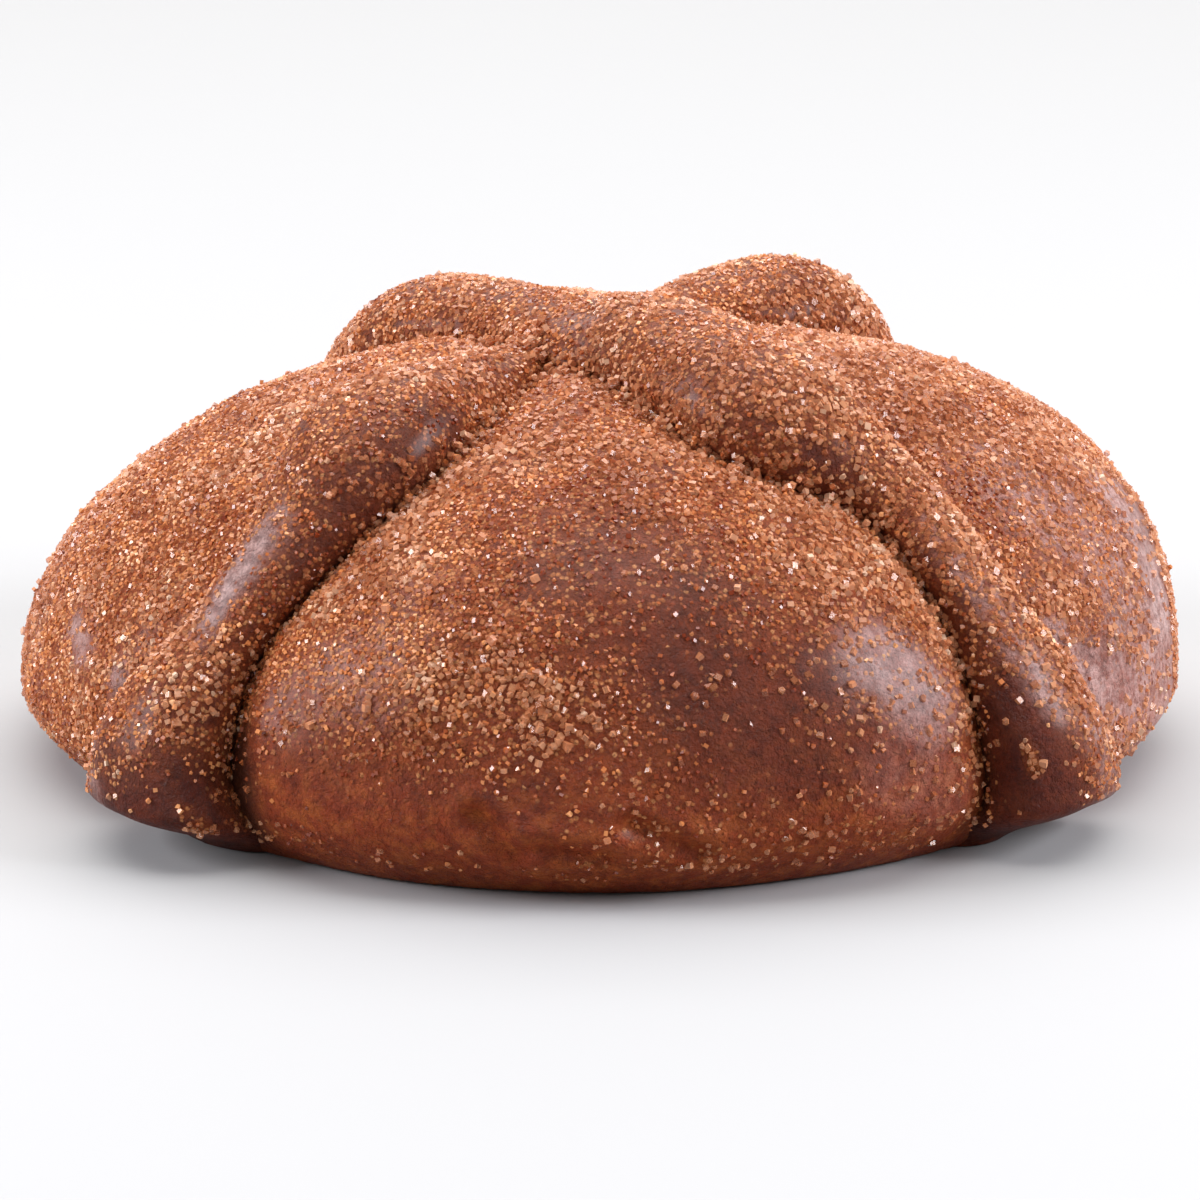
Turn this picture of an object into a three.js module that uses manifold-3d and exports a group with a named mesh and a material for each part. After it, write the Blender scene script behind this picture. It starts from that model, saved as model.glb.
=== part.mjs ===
// Pan de muerto: a round sweet loaf with two crossed dough bones baked onto its dome and coarse
// sugar stuck to the crust. Millimetres, +Z up. The origin is the middle of the flat base, the
// front with the two nearest bone feet faces -Y, and +X is on its right.
import * as THREE from "three";
import Module from "manifold-3d";
import { mergeVertices } from "three/addons/utils/BufferGeometryUtils.js";

// ---- driving dimensions -------------------------------------------------------------------------

// Loaf: four lobes that swell between the bones, on one flat base. Each lobe has its reach from the
// middle to its belly and the fullness of its crown: an exponent, where 2 is an ellipse.
const LOBES = {
  right: { reach: 59.8, fullness: 2.5 },
  back: { reach: 57.4, fullness: 2.15 },
  left: { reach: 60, fullness: 1.97 },
  front: { reach: 57, fullness: 2.3 },
};
const DOME_TOP = 44; // height of the dome under the crossed bones
const BELLY_HEIGHT = 7.5; // height of the widest line
const PINCH = 0.3; // how much less full the crown is under the bones, between two lobes
const WAIST = 1.5; // how much less it reaches there
const UNDER_DEPTH = 24; // where the curve under the belly would close, if the base didn't cut it
const UNDER_FULLNESS = 1.6; // exponent of that lower curve
const BASE_EDGE = 2; // blend between the side and the flat base
const LOAF_DETAIL = 14; // splits of each icosahedron edge
const RIM_ANGLE = 98.6; // degrees down to the rim of the base, seen from the middle of the belly
const RIM_SNAP = 2.4; // degrees from which a point of the mesh is drawn onto the rim
const LUMP = 0.5; // how far the hand-shaped dough strays from the smooth curve
const LUMP_WAVES = [
  { x: 0.11, y: 0.07, z: 0, phase: 0.9, share: 0.4 }, // radians for each mm, and share of the whole
  { x: 0, y: 0.09, z: -0.13, phase: 2.1, share: 0.35 },
  { x: 0.21, y: -0.17, z: 0.19, phase: 4.0, share: 0.25 },
];

// Valleys pressed into the loaf by the bones.
const VALLEY_DEPTH = 2.0; // wide hollow between two lobes
const VALLEY_SPREAD = 9; // its half-width
const BED_DEPTH = 1.6; // narrow bed right under a bone
const BED_MARGIN = 1.2; // how far the bed reaches past the bone's side
const RIM_HEIGHT = 7; // below this the dough spreads out again under the feet

// Bones: two ropes of dough cross on top. Each arm has a thin neck beside the crossing, a knob, a
// waist, a thin shaft and a broad foot. A station is so many degrees down from the dome's top and
// round it from +X, seen from the middle of the belly, with the half-width there and a lift off the
// dome in millimetres.
const station = (down, round, half, lift = 0) => ({ down, round, half, lift });
const ARMS = {
  frontLeft: {
    neck: station(18, 227, 3.6, -1.4),
    knob: station(47, 228, 8.0),
    waist: station(64, 227, 5.4),
    shaft: station(75, 225, 4.3),
    foot: station(86, 222.5, 7.2),
    tip: station(94.5, 222, 7.4, 1.5),
  },
  frontRight: {
    neck: station(19, 300, 8.0, -1.6),
    knob: station(42, 304.5, 8.3, -0.3),
    waist: station(56, 314, 4.5),
    shaft: station(70, 316, 4.0),
    foot: station(85, 318.5, 6.4),
    tip: station(94, 321, 6.8, 1.5),
  },
  backLeft: {
    neck: station(17, 138, 6.2, -1.5),
    knob: station(41, 134, 8.2, -1.1),
    waist: station(60, 132, 4.6),
    shaft: station(73, 131, 4.2),
    foot: station(86, 131, 6.8),
    tip: station(94, 131, 6.6, 1.5),
  },
  backRight: {
    neck: station(17, 48, 5.0, -1.5),
    knob: station(41, 44, 8.8, -0.7),
    waist: station(60, 46, 4.6),
    shaft: station(73, 47, 4.2),
    foot: station(86, 46, 6.8),
    tip: station(94, 46, 6.6, 1.5),
  },
};
const LOWER_CROSSING = { half: 4.0, lift: -3.4, x: -1, y: -1 };
const UPPER_CROSSING = { half: 8.8, lift: -4.0, x: 0.5, y: -4.4 };
const FOOT_CORNER = { down: 93, round: 327.5, reach: 1.8, spread: 4.5 }; // pulled out on one foot
const TIP_CAP = 0.045; // share of the rope's length that rounds off at each end
const TIP_BLUNT = 2.6; // exponent of that rounding: 2 is a half ellipse
const BONE_ROUND = 2.2; // exponent of the cross-section: 2 is an ellipse
const BONE_THICKNESS = 0.8; // half-thickness for each mm of half-width
const BONE_RISE = 0.4; // height of the bone's middle over the valley, for each mm of half-thickness
const BONE_RINGS = 60;
const BONE_SIDES = 16;
const LINE_STEPS = 90; // points along a bone from which the loaf's hollows are measured
const GAP = 0.3; // between solids that touch

// Sugar: the largest clumps of the coarse sugar, as rough little stones half sunk in the crust.
const SUGAR = {
  large: 1.5, // half-width of the largest clump
  small: 1.0, // and of the smallest
  flat: 0.7, // height for each mm of width
  sunk: 0.25, // how deep its middle lies under the crust, for each mm of half-width
  loafTries: 110, // places tried on the loaf
  loafEdge: 84, // degrees down from the top where the sugar on the loaf ends
  boneStep: 6.5, // spacing along a bone
  boneSpread: 48, // degrees to either side of a bone's top
  boneEnds: 0.08, // share of a bone's length without sugar at each end
  clear: 0.7, // from any other node
};
const SUGAR_SEED = 1102;
const GOLDEN_ANGLE = 137.508; // degrees

// ---- dome and loaf ------------------------------------------------------------------------------

const BELLY = new THREE.Vector3(0, 0, BELLY_HEIGHT);
const radians = THREE.MathUtils.degToRad;

// Reach and fullness towards the direction (x, y): a blend of the two lobes on either side of it,
// drawn in where it runs between them.
function lobeTowards(x, y) {
  const along = Math.hypot(x, y) || 1;
  const sideShare = (x / along) ** 2;
  const side = x > 0 ? LOBES.right : LOBES.left;
  const end = y > 0 ? LOBES.back : LOBES.front;
  const between = 4 * sideShare * (1 - sideShare);
  return {
    reach: sideShare * side.reach + (1 - sideShare) * end.reach - WAIST * between,
    fullness: sideShare * side.fullness + (1 - sideShare) * end.fullness - PINCH * between,
  };
}

// Smaller of two lengths, rounded off where they are nearly the same.
function softMin(a, b, blend) {
  const share = Math.max(blend - Math.abs(a - b), 0) / blend;
  return Math.min(a, b) - (share * share * blend) / 4;
}

// Slow unevenness of hand-shaped dough, from -1 to 1, for a point in millimetres.
function lumpAt(p) {
  const wave = ({ x, y, z, phase, share }) => share * Math.sin(x * p.x + y * p.y + z * p.z + phase);
  return LUMP_WAVES.reduce((sum, one) => sum + wave(one), 0);
}

// Distance from the middle of the belly to the smooth dome, along a unit direction.
function domeRadius(direction) {
  const lobe = lobeTowards(direction.x, direction.y);
  const wide = Math.hypot(direction.x, direction.y) / lobe.reach;
  const above = direction.z >= 0;
  const fullness = above ? lobe.fullness : UNDER_FULLNESS;
  const tall = above ? DOME_TOP - BELLY_HEIGHT : UNDER_DEPTH;
  return (wide ** fullness + (Math.abs(direction.z) / tall) ** fullness) ** (-1 / fullness);
}

function directionAt(angle, azimuth) {
  const a = radians(angle);
  const b = radians(azimuth);
  return new THREE.Vector3(Math.sin(a) * Math.cos(b), Math.sin(a) * Math.sin(b), Math.cos(a));
}

// ---- bones --------------------------------------------------------------------------------------

// The stations of one arm as points of the rope's middle line, from the crossing outwards.
function armPoints(arm) {
  return Object.values(arm).map(({ down, round, half, lift }) => {
    const direction = directionAt(down, round);
    const rise = BONE_RISE * BONE_THICKNESS * half + lift;
    const radius = domeRadius(direction) - VALLEY_DEPTH + rise;
    return { point: direction.multiplyScalar(radius).add(BELLY), half };
  });
}

// A rope of dough: its middle line and its half-width along it.
function makeRope(fromArm, toArm, crossing) {
  const height = DOME_TOP - VALLEY_DEPTH + BONE_RISE * BONE_THICKNESS * crossing.half + crossing.lift;
  const middle = { point: new THREE.Vector3(crossing.x, crossing.y, height), half: crossing.half };
  const stations = [...armPoints(fromArm).reverse(), middle, ...armPoints(toArm)];
  const points = stations.map((s) => s.point);
  const halves = stations.map((s) => new THREE.Vector3(s.half, 0, 0));
  return {
    line: new THREE.CatmullRomCurve3(points, false, "catmullrom", 0.5),
    widths: new THREE.CatmullRomCurve3(halves, false, "catmullrom", 0.5),
  };
}

const lowerRope = makeRope(ARMS.frontLeft, ARMS.backRight, LOWER_CROSSING);
const upperRope = makeRope(ARMS.backLeft, ARMS.frontRight, UPPER_CROSSING);

// How much of its full size the rope keeps at a share of its length: it rounds off at both ends.
function capShare(t) {
  if (t <= 0 || t >= 1) return 0;
  const past = Math.abs(2 * t - 1) - (1 - 2 * TIP_CAP);
  return past <= 0 ? 1 : Math.max(0, 1 - (past / (2 * TIP_CAP)) ** TIP_BLUNT) ** (1 / TIP_BLUNT);
}

// Draws dough near the one pinched foot corner outwards.
const cornerDirection = directionAt(FOOT_CORNER.down, FOOT_CORNER.round);
const cornerPoint = cornerDirection.clone().multiplyScalar(domeRadius(cornerDirection)).add(BELLY);
function pullCorner(p) {
  const near = Math.exp(-((p.distanceTo(cornerPoint) / FOOT_CORNER.spread) ** 2));
  return p.addScaledVector(cornerDirection, FOOT_CORNER.reach * near);
}

// The point at a share t of a rope's length and an angle around it, where 90 degrees is its top, and
// the direction that points out of the loaf there.
function ropeSurface(rope, t, around, grow) {
  const middle = rope.line.getPoint(t);
  const tangent = rope.line.getTangent(t);
  const outwards = middle.clone().sub(BELLY).normalize();
  const sideways = new THREE.Vector3().crossVectors(tangent, outwards).normalize();
  outwards.crossVectors(sideways, tangent).normalize();
  const half = rope.widths.getPoint(t).x;
  const round = (v) => Math.sign(v) * Math.abs(v) ** (2 / BONE_ROUND);
  const across = round(Math.cos(around)) * (half + grow) * capShare(t);
  const up = round(Math.sin(around)) * (half * BONE_THICKNESS + grow) * capShare(t);
  const point = middle.addScaledVector(sideways, across).addScaledVector(outwards, up);
  return { point: pullCorner(point), outwards };
}

// A closed rope: a sphere whose rings are strung along the line and whose sides become the section.
function ropeGeometry(rope, grow) {
  const geometry = new THREE.SphereGeometry(1, BONE_SIDES, BONE_RINGS);
  const place = geometry.getAttribute("position");
  for (let i = 0; i < place.count; i++) {
    const t = THREE.MathUtils.clamp((1 + place.getY(i)) / 2, 0, 1);
    const { point } = ropeSurface(rope, t, Math.atan2(place.getZ(i), place.getX(i)), grow);
    place.setXYZ(i, point.x, point.y, point.z);
  }
  return geometry;
}

// ---- loaf ---------------------------------------------------------------------------------------

// Points along both ropes with their half-width, to find how near a bone lies.
const ropeSamples = [lowerRope, upperRope].map((rope) =>
  Array.from({ length: LINE_STEPS + 1 }, (_, i) => ({
    point: rope.line.getPoint(i / LINE_STEPS),
    half: rope.widths.getPoint(i / LINE_STEPS).x,
  })),
);

// How deep the bones press the loaf in at a point of the smooth dome.
function valleyAt(p) {
  let wide = 0;
  let bed = 0;
  for (const samples of ropeSamples) {
    let nearest = samples[0];
    let distance = Infinity;
    for (const sample of samples) {
      const d = sample.point.distanceTo(p);
      if (d < distance) {
        distance = d;
        nearest = sample;
      }
    }
    wide = Math.max(wide, Math.exp(-((distance / VALLEY_SPREAD) ** 2)));
    bed = Math.max(bed, Math.exp(-((distance / (nearest.half + BED_MARGIN)) ** 4)));
  }
  return THREE.MathUtils.smoothstep(p.z, 0, RIM_HEIGHT) * (VALLEY_DEPTH * wide + BED_DEPTH * bed);
}

// Distance from the middle of the belly to the loaf's crust, along a unit direction.
function loafRadius(direction, grow = 0) {
  const p = direction.clone().multiplyScalar(domeRadius(direction)).add(BELLY);
  const radius = domeRadius(direction) + LUMP * lumpAt(p) - valleyAt(p) + grow;
  return direction.z < 0 ? softMin(radius, (BELLY_HEIGHT + grow) / -direction.z, BASE_EDGE) : radius;
}

function loafPoint(direction, grow) {
  return direction.clone().multiplyScalar(loafRadius(direction, grow)).add(BELLY);
}

// An even mesh of the loaf, with the points that lie near the rim of its base drawn onto it.
function loafGeometry(grow) {
  const geometry = new THREE.IcosahedronGeometry(1, LOAF_DETAIL);
  const place = geometry.getAttribute("position");
  const direction = new THREE.Vector3();
  for (let i = 0; i < place.count; i++) {
    direction.fromBufferAttribute(place, i).normalize();
    const down = THREE.MathUtils.radToDeg(Math.acos(direction.z));
    const round = THREE.MathUtils.radToDeg(Math.atan2(direction.y, direction.x));
    if (Math.abs(down - RIM_ANGLE) < RIM_SNAP) direction.copy(directionAt(RIM_ANGLE, round));
    const p = loafPoint(direction, grow);
    place.setXYZ(i, p.x, p.y, p.z);
  }
  return geometry;
}

// ---- solids -------------------------------------------------------------------------------------

const wasm = await Module();
wasm.setup();

function solidOf(geometry) {
  const bare = new THREE.BufferGeometry().setAttribute("position", geometry.getAttribute("position"));
  if (geometry.index) bare.setIndex(geometry.index);
  const merged = mergeVertices(bare, 1e-4);
  return new wasm.Manifold(
    new wasm.Mesh({
      numProp: 3,
      vertProperties: merged.getAttribute("position").array,
      triVerts: new Uint32Array(merged.index.array),
    }),
  );
}

function geometryOf(solid) {
  const mesh = solid.getMesh();
  return new THREE.BufferGeometry()
    .setAttribute("position", new THREE.BufferAttribute(mesh.vertProperties, 3))
    .setIndex(new THREE.BufferAttribute(mesh.triVerts, 1));
}

function namedMesh(name, solid, material) {
  const mesh = new THREE.Mesh(geometryOf(solid), material);
  mesh.name = name;
  return mesh;
}

// ---- sugar --------------------------------------------------------------------------------------

// Repeatable random numbers between 0 and 1.
function seededRandom(seed) {
  let state = seed;
  return () => {
    state = (state * 16807) % 2147483647;
    return state / 2147483647;
  };
}

// One clump whose middle lies a little under the crust at a point.
function sugarClump(point, outwards, half, random) {
  const geometry = new THREE.IcosahedronGeometry(1, 0);
  geometry.rotateX(random() * Math.PI).rotateZ(random() * Math.PI);
  geometry.scale(half, half * (0.75 + 0.25 * random()), half * SUGAR.flat);
  geometry.rotateZ(random() * Math.PI);
  const turn = new THREE.Quaternion().setFromUnitVectors(new THREE.Vector3(0, 0, 1), outwards);
  geometry.applyQuaternion(turn);
  const middle = point.clone().addScaledVector(outwards, -SUGAR.sunk * half);
  return solidOf(geometry.translate(middle.x, middle.y, middle.z));
}

function sugarHalf(random) {
  return SUGAR.small + (SUGAR.large - SUGAR.small) * random();
}

// How far a point lies from the side of the nearest bone, leaving out one of the two ropes.
function distanceToBones(p, except) {
  let least = Infinity;
  ropeSamples.forEach((samples, rope) => {
    if (rope === except) return;
    for (const { point, half } of samples) least = Math.min(least, point.distanceTo(p) - half);
  });
  return least;
}

// Clumps spread evenly over the loaf by the golden angle, down to the sugar's edge.
function loafSugar(random) {
  const clumps = [];
  const lowest = Math.cos(radians(SUGAR.loafEdge));
  for (let i = 0; i < SUGAR.loafTries; i++) {
    const half = sugarHalf(random);
    const down = THREE.MathUtils.radToDeg(Math.acos(1 - ((i + 0.5) / SUGAR.loafTries) * (1 - lowest)));
    const direction = directionAt(down, i * GOLDEN_ANGLE);
    const point = loafPoint(direction, 0);
    if (distanceToBones(point, -1) < half + SUGAR.clear) continue;
    clumps.push(sugarClump(point, direction, half, random));
  }
  return clumps;
}

// Clumps along the top of a rope, clear of the loaf and of the other rope.
function boneSugar(rope, index, random) {
  const clumps = [];
  const steps = Math.floor((rope.line.getLength() * (1 - 2 * SUGAR.boneEnds)) / SUGAR.boneStep);
  for (let i = 0; i <= steps; i++) {
    const half = sugarHalf(random);
    const t = SUGAR.boneEnds + ((1 - 2 * SUGAR.boneEnds) * i) / steps;
    const lean = radians(SUGAR.boneSpread) * (2 * random() - 1);
    const { point, outwards } = ropeSurface(rope, t, Math.PI / 2 + lean, 0);
    const fromLoaf = point.distanceTo(BELLY) - loafRadius(point.clone().sub(BELLY).normalize());
    if (fromLoaf < half + SUGAR.clear) continue;
    if (distanceToBones(point, index) < half + SUGAR.clear) continue;
    clumps.push(sugarClump(point, outwards, half, random));
  }
  return clumps;
}

// ---- model --------------------------------------------------------------------------------------

const crust = new THREE.MeshStandardMaterial({ color: 0x8a4526, roughness: 0.45, metalness: 0 });
const boneCrust = new THREE.MeshStandardMaterial({ color: 0x7c3a20, roughness: 0.4, metalness: 0 });

const random = seededRandom(SUGAR_SEED);
const bareLoaf = solidOf(loafGeometry(0));
const clearOfLoaf = solidOf(loafGeometry(GAP));
const clearOfLower = solidOf(ropeGeometry(lowerRope, GAP));
const bareLower = solidOf(ropeGeometry(lowerRope, 0)).subtract(clearOfLoaf);
const bareUpper = solidOf(ropeGeometry(upperRope, 0)).subtract(clearOfLoaf).subtract(clearOfLower);

const withSugar = (solid, clumps) => clumps.reduce((sum, clump) => sum.add(clump), solid);
const loaf = withSugar(bareLoaf, loafSugar(random));
const lowerBone = withSugar(bareLower, boneSugar(lowerRope, 0, random));
const upperBone = withSugar(bareUpper, boneSugar(upperRope, 1, random));

const bread = new THREE.Group();
bread.add(namedMesh("loaf", loaf, crust));
bread.add(namedMesh("bone_lower", lowerBone, boneCrust));
bread.add(namedMesh("bone_upper", upperBone, boneCrust));

export default bread;
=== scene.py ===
"""Dresses the solids of a pan de muerto: baked crust on the loaf and its two bones, and a coat of
coarse sugar, one crystal at a time. The form's sizes are in millimetres, as the solids' are, and a
finished piece is in metres."""

import math

import bmesh
import bpy
import numpy as np
from bpy.props import FloatProperty, FloatVectorProperty, IntProperty, PointerProperty
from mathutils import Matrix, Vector, noise


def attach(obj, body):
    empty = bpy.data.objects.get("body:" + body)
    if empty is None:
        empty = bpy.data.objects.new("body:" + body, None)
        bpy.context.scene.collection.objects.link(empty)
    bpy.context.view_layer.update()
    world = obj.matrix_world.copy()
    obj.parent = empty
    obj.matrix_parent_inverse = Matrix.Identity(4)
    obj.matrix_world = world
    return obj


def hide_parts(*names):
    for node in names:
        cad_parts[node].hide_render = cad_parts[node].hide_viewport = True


bl_info = {
    "name": "Pan de muerto",
    "version": (1, 0, 0),
    "blender": (4, 5, 0),
    "location": "View3D > Sidebar > Bread",
    "description": "Baked crust and coarse sugar for a round loaf with crossed dough bones",
    "category": "Object",
}

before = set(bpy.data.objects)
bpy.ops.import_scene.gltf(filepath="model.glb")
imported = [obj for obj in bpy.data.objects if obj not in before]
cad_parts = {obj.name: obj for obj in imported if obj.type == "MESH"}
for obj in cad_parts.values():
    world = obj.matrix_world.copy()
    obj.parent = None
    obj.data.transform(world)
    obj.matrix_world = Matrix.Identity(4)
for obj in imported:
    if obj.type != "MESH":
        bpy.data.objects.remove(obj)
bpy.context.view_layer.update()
MM = 0.001

# ---- form of the dough, in millimetres, as in the solids ----

LOBES = {"right": (59.8, 2.5), "back": (57.4, 2.15), "left": (60.0, 1.97), "front": (57.0, 2.3)}
DOME_TOP = 44.0
BELLY_HEIGHT = 7.5
PINCH = 0.3
WAIST = 1.5
UNDER_DEPTH = 24.0
UNDER_FULLNESS = 1.6
BASE_EDGE = 2.0
LUMP = 0.5
LUMP_WAVES = (
    ((0.11, 0.07, 0.0), 0.9, 0.4),
    ((0.0, 0.09, -0.13), 2.1, 0.35),
    ((0.21, -0.17, 0.19), 4.0, 0.25),
)
VALLEY_DEPTH = 2.0
VALLEY_SPREAD = 9.0
BED_DEPTH = 1.6
BED_MARGIN = 1.2
RIM_HEIGHT = 7.0
BONE_ROUND = 2.2
BONE_THICKNESS = 0.8
BONE_RISE = 0.4
LINE_STEPS = 90
FOOT_CORNER = {"down": 93.0, "round": 327.5, "reach": 1.8, "spread": 4.5}

# Stations of each arm from the crossing outwards: degrees down from the top, degrees round from +X,
# half-width and lift off the dome.
ARMS = {
    "front_left": (
        (18, 227, 3.6, -1.4), (47, 228, 8.0, 0), (64, 227, 5.4, 0),
        (75, 225, 4.3, 0), (86, 222.5, 7.2, 0), (94.5, 222, 7.4, 1.5),
    ),
    "front_right": (
        (19, 300, 8.0, -1.6), (42, 304.5, 8.3, -0.3), (56, 314, 4.5, 0),
        (70, 316, 4.0, 0), (85, 318.5, 6.4, 0), (94, 321, 6.8, 1.5),
    ),
    "back_left": (
        (17, 138, 6.2, -1.5), (41, 134, 8.2, -1.1), (60, 132, 4.6, 0),
        (73, 131, 4.2, 0), (86, 131, 6.8, 0), (94, 131, 6.6, 1.5),
    ),
    "back_right": (
        (17, 48, 5.0, -1.5), (41, 44, 8.8, -0.7), (60, 46, 4.6, 0),
        (73, 47, 4.2, 0), (86, 46, 6.8, 0), (94, 46, 6.6, 1.5),
    ),
}
LOWER_CROSSING = {"half": 4.0, "lift": -3.4, "x": -1.0, "y": -1.0}
UPPER_CROSSING = {"half": 8.8, "lift": -4.0, "x": 0.5, "y": -4.4}

# ---- feet, blunter and wider than in the solids, in millimetres ----

TIP_CAP = 0.03  # share of a bone's length over which its tip rounds off
TIP_BLUNT = 3.2
FOOT_SPREAD = 0.38  # how much wider the very end of a foot is
FOOT_FROM = (0.84, 0.97)  # shares of an arm at which its foot starts to spread and is widest
PINCHED = {"down": 95.2, "round": 329.4, "proud": 3.2, "spread": 6.0, "share": 0.9}  # its tip
PRESSED = 4.2  # how far the lowest dough of a foot has sunk on the tray
PRESSED_BELOW = 12.0
TUCKED = 9.0  # how far the dough of a foot draws in under the loaf, down on the tray
TUCKED_BELOW = 6.0
BONE_OFF_TRAY = 0.15

# ---- relief that is too fine for the solids, in millimetres ----

LOAF_SPLITS = 6  # of the sphere that becomes the loaf, before each edge is cut in three
BASE_SHARE = 0.12  # share of that sphere's height given to the flat base
BASE_DOWN = 98.6  # degrees down to the base's rim
BONE_SIDES = 96
BONE_RINGS = 420
RINGS_TO_TIPS = 0.02  # how strongly those rings crowd towards the tips
SKIN_WAVES = ((7.0, 0.22), (2.6, 0.07))  # length of a swell in the skin and how high it stands
BONE_SWELLS = 1.3  # the bones' skin swells this many times as high
FOLD_LIP = (2.2, 0.45)  # how many half-widths beside a fold its lip lies, and how high it is
# Tucks of dough near the tray: from and to (degrees down and round), half-width and depth.
FOLDS = (
    (88, 258.5, 91.5, 262, 1, 0.85), (90.8, 264, 92, 270.5, 0.9, 0.75),
    (88.6, 273, 91.8, 279.5, 0.95, 0.8), (82, 256.8, 83.2, 257.6, 0.45, 0.35),
    (87, 297, 88.4, 300, 0.5, 0.15), (88, 58, 91, 66, 0.9, 0.5), (87.5, 118, 90.5, 110, 0.8, 0.4),
)

# ---- colours of the sugar and sizes of the crust's patterns ----

CLOUDY_SHADES = (  # from the darkest crystal to the palest
    (0.0, (0.20, 0.030, 0.008)),
    (0.25, (0.40, 0.098, 0.030)),
    (0.5, (0.62, 0.208, 0.066)),
    (0.75, (0.80, 0.350, 0.140)),
    (1.0, (0.97, 0.670, 0.410)),
)
CLEAR_SHADES = (
    (0.0, (0.42, 0.118, 0.045)),
    (0.35, (0.64, 0.240, 0.105)),
    (0.7, (0.82, 0.390, 0.205)),
    (1.0, (0.97, 0.700, 0.490)),
)
BLOTS = 9.0 * MM
MOTTLE = 1.2 * MM
CARAMEL = 2.2 * MM
# Sizes of the specks and smears that break up the painted sheen.
PAINTED_SHEEN_SPECKS = 1.1 * MM
PAINTED_SHEEN_SMEARS = 6.0 * MM
FINE_SUGAR = 0.45 * MM
SKIN_BUMPS = (  # size, detail, roughness, distortion, height and strength of each layer
    (0.9 * MM, 5, 0.65, 0.6, 0.7 * MM, 1.0),
    (0.36 * MM, 3, 0.6, 0.3, 0.45 * MM, 1.0),
    (3.0 * MM, 2, 0.5, 0.0, 0.6 * MM, 0.6),
)
GRAIN_BUMP = (0.35 * MM, 0.8)
SHEEN = 0.4 * MM
# Near-black brown of the painted shade in the creases.
CREASE_SHADE_COLOUR = (0.012, 0.004, 0.003)
PALER_BELOW = {"loaf": (6 * MM, 20 * MM), "bones": (-2 * MM, 2 * MM)}  # heights: palest, brownest

# ---- patches of the crust ----

PATCH_LIFT = 4.0  # those on a bone are measured this far above the dome, in millimetres
# Where the crust is bare of sugar: from and to (degrees down and round), half-width in
# millimetres and how bare it is.
BARE_ON_LOAF = (
    (75, 300, 80, 305, 4.4, 0.7), (83, 296, 85.5, 304, 3.6, 0.6), (77, 325, 77.6, 326.5, 1.9, 0.8),
    (82, 330, 86, 336, 4.6, 0.9), (72, 352, 90, 345, 7, 0.88), (80, 338, 88, 344, 4.5, 0.7),
    (64, 334, 78, 341, 6, 0.45), (80, 199.5, 82, 204, 1.7, 0.75),
    (82.5, 211.5, 84.5, 213.5, 1.6, 0.8), (87.5, 232, 89.5, 262, 5, 0.8),
    (64, 271, 80, 290, 9, 0.62), (72, 277, 79, 286, 6.5, 0.78), (80, 20, 86, 8, 4, 0.6),
    (76, 96, 82, 84, 4.5, 0.6), (79, 160, 84, 170, 3.5, 0.6),
)
BARE_ON_BONES = (
    (91.5, 221.5, 90.5, 230, 4.9, 0.96), (46, 244.5, 63, 236, 5.2, 0.6),
    (61, 238, 74, 231.5, 2.3, 0.95), (74, 231.5, 90, 232, 2.5, 0.95),
    (64, 227, 73, 225.2, 1.7, 0.85), (52, 241.5, 57, 234.5, 3, 0.45),
    (51, 301, 54, 305, 1.7, 0.97), (44, 289, 48, 295, 3, 0.3), (22, 304, 25, 310, 2, 0.5),
    (54, 304, 80, 309.5, 3.4, 0.93), (82, 311.5, 92, 315.5, 5, 0.95),
    (17, 217, 18.5, 222, 1.4, 0.7), (14.5, 250, 16, 258, 1.8, 0.6),
    (36, 281, 39.5, 285, 1.8, 0.65), (60, 126, 80, 126, 2.4, 0.85), (84, 130, 91, 132, 5, 0.9),
    (55, 53, 78, 51, 2.4, 0.8), (84, 45, 91, 48, 5, 0.9),
)
# The same for painted shade on the sugar: darker, redder crystals on the front and on flanks that
# face away from the light.
SHADED_SUGAR_ON_LOAF = (
    (38, 262, 56, 278, 10, 0.32), (62, 270, 78, 284, 12, 0.95), (46, 337, 62, 330, 10, 0.35),
    (88, 240, 90, 300, 9, 0.7),
)
SHADED_SUGAR_ON_BONES = (
    (44, 244, 68, 234, 6, 0.9), (20, 240, 34, 236, 6, 0.35), (38, 284, 56, 301, 5.5, 0.4),
    (60, 308, 78, 311, 4.5, 0.5),
)
# The same for painted shade on the crust, on the front middle of the loaf and the shaded flank of
# the front left knob.
PAINTED_SHADE_ON_LOAF = ((65, 271, 80, 288, 10, 0.36),)
PAINTED_SHADE_ON_BONES = ((44, 244, 66, 236, 5, 0.28),)
# Lone clumps of crystals on a bare foot, in the same way.
CLUMPS_ON_BONES = (
    (84.4, 312.4, 87.4, 313.4, 0.9, 0.9), (88.4, 311.6, 88.6, 312, 0.7, 0.9),
    (89.6, 226, 91, 229, 0.9, 0.5), (92.6, 230, 93.6, 231, 1.2, 0.7),
)
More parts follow.
